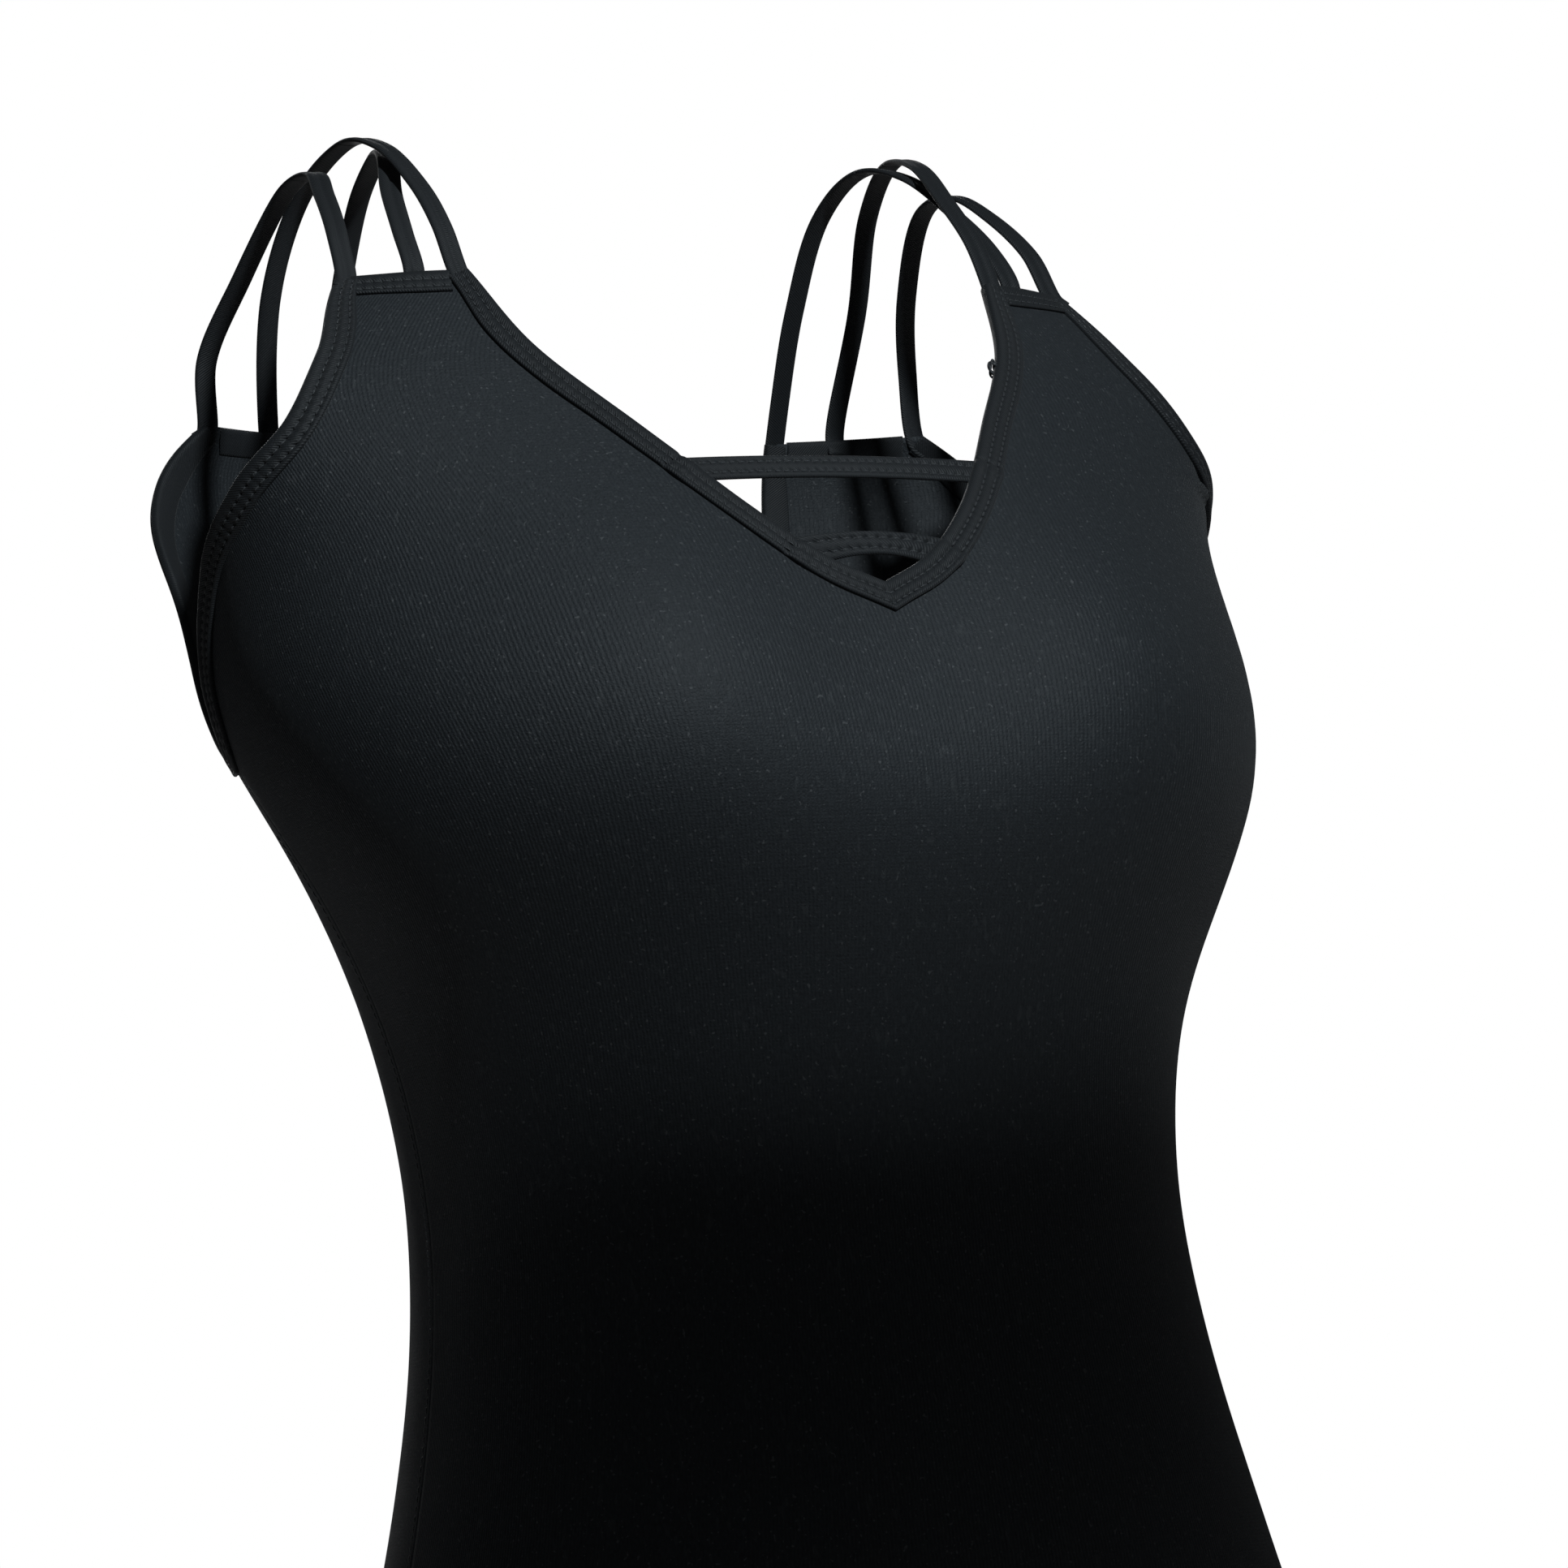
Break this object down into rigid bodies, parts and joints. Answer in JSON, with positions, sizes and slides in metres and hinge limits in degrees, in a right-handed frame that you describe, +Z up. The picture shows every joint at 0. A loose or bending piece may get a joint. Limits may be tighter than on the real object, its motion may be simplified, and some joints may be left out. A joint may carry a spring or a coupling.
{
  "type": "gymnastics leotard",
  "caption": "Sleeveless stretch-jersey gymnastics leotard with a V neckline, straps across the neckline and three thin straps over each shoulder.",
  "frame": {"origin": "the torso's centre line at the waist, inside the garment", "axes": "+Z up along the body, -Y out of the wearer's front, +X to the wearer's left"},
  "size_m": [0.3506, 0.2282, 0.6105],
  "materials": {
    "jersey": "matte fine-ribbed stretch knit, bluish black",
    "tape": "matte folded stretch tape with two rows of stitching",
    "lining": "matte mesh knit, black",
    "elastic": "matte braided elastic, black",
    "label": "blank satin label, off-white"
  },
  "bodies": {
    "garment": {"front_panel": "jersey", "back_panel": "jersey", "bust_lining": "lining", "underbust_elastic": "elastic", "gusset_lining": "lining", "side_seam_left": "lining", "side_seam_right": "lining", "crotch_seam": "lining", "neckline_binding_left": "tape", "neckline_binding_right": "tape", "armhole_binding_left": "tape", "armhole_binding_right": "tape", "front_tab_binding_left": "tape", "front_tab_binding_right": "tape", "back_tab_binding_left": "tape", "back_tab_binding_right": "tape", "leg_binding_left": "tape", "leg_binding_right": "tape", "leg_elastic_left": "elastic", "leg_elastic_right": "elastic", "back_neckline_binding": "tape", "chest_strap_upper": "tape", "chest_strap_lower": "tape"},
    "outer_strap_left_body": {"outer_strap_left": "tape"},
    "middle_strap_left_body": {"middle_strap_left": "tape"},
    "inner_strap_left_body": {"inner_strap_left": "tape"},
    "outer_strap_right_body": {"outer_strap_right": "tape"},
    "middle_strap_right_body": {"middle_strap_right": "tape"},
    "inner_strap_right_body": {"inner_strap_right": "tape"},
    "label_body": {"neck_label": "label"}
  },
  "joints": [
    {"name": "outer_strap_left_swing", "type": "hinge", "parent": "garment", "child": "outer_strap_left_body", "pos_m": [0.12071, -0.00512, 0.29165], "axis": [0.0068, 0.9743, -0.225], "range_deg": [0, 35]},
    {"name": "middle_strap_left_swing", "type": "hinge", "parent": "garment", "child": "middle_strap_left_body", "pos_m": [0.10542, -0.01254, 0.29173], "axis": [-0.1818, 0.9656, -0.1861], "range_deg": [0, 35]},
    {"name": "inner_strap_left_swing", "type": "hinge", "parent": "garment", "child": "inner_strap_left_body", "pos_m": [0.09317, -0.01665, 0.29182], "axis": [0.0846, 0.9777, -0.1924], "range_deg": [0, 35]},
    {"name": "outer_strap_right_swing", "type": "hinge", "parent": "garment", "child": "outer_strap_right_body", "pos_m": [-0.12071, -0.00512, 0.29165], "axis": [0.0068, -0.9743, 0.225], "range_deg": [0, 35]},
    {"name": "middle_strap_right_swing", "type": "hinge", "parent": "garment", "child": "middle_strap_right_body", "pos_m": [-0.10542, -0.01254, 0.29173], "axis": [-0.1818, -0.9656, 0.1861], "range_deg": [0, 35]},
    {"name": "inner_strap_right_swing", "type": "hinge", "parent": "garment", "child": "inner_strap_right_body", "pos_m": [-0.09317, -0.01665, 0.29182], "axis": [0.0846, -0.9777, 0.1924], "range_deg": [0, 35]},
    {"name": "neck_label_flap", "type": "hinge", "parent": "garment", "child": "label_body", "pos_m": [0, 0.0696, 0.109], "axis": [-1, 0, 0], "range_deg": [0, 90]}
  ],
  "couplings": [
    {"joint": "middle_strap_left_swing", "follows": "outer_strap_left_swing", "ratio": 1},
    {"joint": "inner_strap_left_swing", "follows": "outer_strap_left_swing", "ratio": 1},
    {"joint": "middle_strap_right_swing", "follows": "outer_strap_right_swing", "ratio": 1},
    {"joint": "inner_strap_right_swing", "follows": "outer_strap_right_swing", "ratio": 1}
  ]
}
